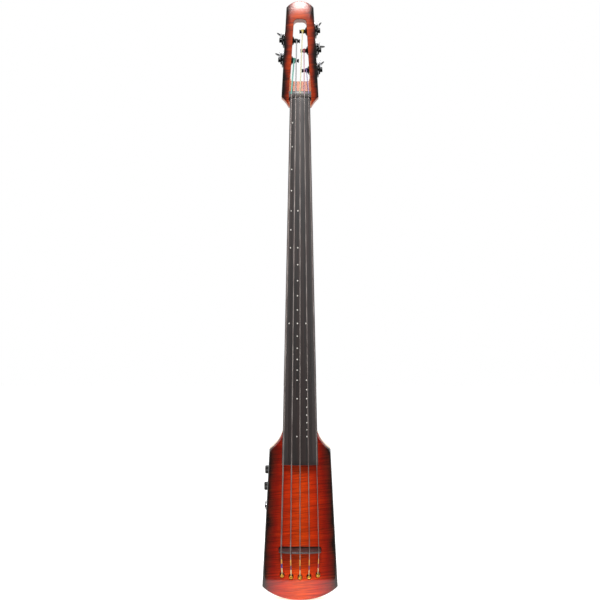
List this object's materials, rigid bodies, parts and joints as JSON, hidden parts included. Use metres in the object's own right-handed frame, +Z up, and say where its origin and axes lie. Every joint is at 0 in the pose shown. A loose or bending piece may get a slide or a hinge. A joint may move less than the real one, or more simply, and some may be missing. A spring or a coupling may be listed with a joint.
{
  "type": "electric upright bass",
  "caption": "Slim solid-body upright bass: carved flamed top, long fretless fingerboard, arched bridge, open pegbox with worm tuners.",
  "frame": {"origin": "middle of the stand plate's back face, on the back of the body", "axes": "+Z up the neck, +Y out of the back, -Y is the side of the strings"},
  "size_m": [0.1808, 0.0871, 1.4255],
  "materials": {
    "maple": "satin clear lacquer over bare maple",
    "flame": "gloss amber sunburst over flamed maple",
    "ebony": "oiled ebony",
    "nut": "polished ebony",
    "bridge_ebony": "satin dark hardwood",
    "black_metal": "black chrome",
    "key_black": "gloss black",
    "nickel": "bright nickel",
    "steel": "plain steel",
    "string": "flat-wound steel ribbon",
    "silk": "silk wrap on the string ends",
    "brass": "turned brass",
    "knob": "black knurled",
    "black_plastic": "textured black",
    "board": "circuit board",
    "dot": "white position dot"
  },
  "bodies": {
    "instrument": {"body_core": "maple", "top_plate": "flame", "neck": "maple", "pegbox": "maple", "head_face": "flame", "fingerboard": "ebony", "nut": "nut", "truss_rod": "steel", "control_cover": "black_plastic", "stand_plate": "black_metal", "bridge": "bridge_ebony", "bridge_pickup": "brass", "volume_pot": "steel", "tone_pot": "steel", "output_jack": "nickel", "jack_plate": "black_metal", "circuit_board": "board", "string_1": "string", "string_ball_1": "brass", "tuner_1_plate": "black_metal", "tuner_1_housing": "nickel", "tuner_1_bushing": "black_metal", "string_2": "string", "string_ball_2": "brass", "tuner_2_plate": "black_metal", "tuner_2_housing": "nickel", "tuner_2_bushing": "black_metal", "string_3": "string", "string_ball_3": "brass", "tuner_3_plate": "black_metal", "tuner_3_housing": "nickel", "tuner_3_bushing": "black_metal", "string_4": "string", "string_ball_4": "brass", "tuner_4_plate": "black_metal", "tuner_4_housing": "nickel", "tuner_4_bushing": "black_metal", "string_5": "string", "string_ball_5": "brass", "tuner_5_plate": "black_metal", "tuner_5_housing": "nickel", "tuner_5_bushing": "black_metal"},
    "tuner_1_worm": {"tuner_1_key": "key_black"},
    "tuner_1_drum": {"tuner_1_gear": "black_metal", "tuner_1_post": "black_metal"},
    "tuner_2_worm": {"tuner_2_key": "key_black"},
    "tuner_2_drum": {"tuner_2_gear": "black_metal", "tuner_2_post": "black_metal"},
    "tuner_3_worm": {"tuner_3_key": "key_black"},
    "tuner_3_drum": {"tuner_3_gear": "black_metal", "tuner_3_post": "black_metal"},
    "tuner_4_worm": {"tuner_4_key": "key_black"},
    "tuner_4_drum": {"tuner_4_gear": "black_metal", "tuner_4_post": "black_metal"},
    "tuner_5_worm": {"tuner_5_key": "key_black"},
    "tuner_5_drum": {"tuner_5_gear": "black_metal", "tuner_5_post": "black_metal"},
    "volume_control": {"volume_knob": "knob"},
    "tone_control": {"tone_knob": "knob"}
  },
  "joints": [
    {"name": "tuner_1_key_turn", "type": "hinge", "parent": "instrument", "child": "tuner_1_worm", "pos_m": [-0.04352, -0.044, 1.08749], "axis": [0, 1, 0], "continuous": true},
    {"name": "tuner_1_post_turn", "type": "hinge", "parent": "instrument", "child": "tuner_1_drum", "pos_m": [-0.03879, -0.044, 1.0736], "axis": [0.9984, 0, -0.0563], "continuous": true},
    {"name": "tuner_2_key_turn", "type": "hinge", "parent": "instrument", "child": "tuner_2_worm", "pos_m": [-0.04088, -0.044, 1.13419], "axis": [0, 1, 0], "continuous": true},
    {"name": "tuner_2_post_turn", "type": "hinge", "parent": "instrument", "child": "tuner_2_drum", "pos_m": [-0.03616, -0.044, 1.1203], "axis": [0.9984, 0, -0.0563], "continuous": true},
    {"name": "tuner_3_key_turn", "type": "hinge", "parent": "instrument", "child": "tuner_3_worm", "pos_m": [0.0396, -0.044, 1.15689], "axis": [0, 1, 0], "continuous": true},
    {"name": "tuner_3_post_turn", "type": "hinge", "parent": "instrument", "child": "tuner_3_drum", "pos_m": [0.03488, -0.044, 1.143], "axis": [0.9984, 0, 0.0563], "continuous": true},
    {"name": "tuner_4_key_turn", "type": "hinge", "parent": "instrument", "child": "tuner_4_worm", "pos_m": [0.0422, -0.044, 1.11089], "axis": [0, 1, 0], "continuous": true},
    {"name": "tuner_4_post_turn", "type": "hinge", "parent": "instrument", "child": "tuner_4_drum", "pos_m": [0.03747, -0.044, 1.097], "axis": [0.9984, 0, 0.0563], "continuous": true},
    {"name": "tuner_5_key_turn", "type": "hinge", "parent": "instrument", "child": "tuner_5_worm", "pos_m": [0.04485, -0.044, 1.06389], "axis": [0, 1, 0], "continuous": true},
    {"name": "tuner_5_post_turn", "type": "hinge", "parent": "instrument", "child": "tuner_5_drum", "pos_m": [0.04012, -0.044, 1.05], "axis": [0.9984, 0, 0.0563], "continuous": true},
    {"name": "volume_turn", "type": "hinge", "parent": "instrument", "child": "volume_control", "pos_m": [-0.07975, -0.018, 0.0941], "axis": [-1, 0, 0], "range_deg": [-150, 150]},
    {"name": "tone_turn", "type": "hinge", "parent": "instrument", "child": "tone_control", "pos_m": [-0.08185, -0.018, 0.0545], "axis": [-1, 0, 0], "range_deg": [-150, 150]}
  ],
  "couplings": [
    {"joint": "tuner_1_post_turn", "follows": "tuner_1_key_turn", "ratio": -0.05},
    {"joint": "tuner_2_post_turn", "follows": "tuner_2_key_turn", "ratio": -0.05},
    {"joint": "tuner_3_post_turn", "follows": "tuner_3_key_turn", "ratio": 0.05},
    {"joint": "tuner_4_post_turn", "follows": "tuner_4_key_turn", "ratio": 0.05},
    {"joint": "tuner_5_post_turn", "follows": "tuner_5_key_turn", "ratio": 0.05}
  ]
}
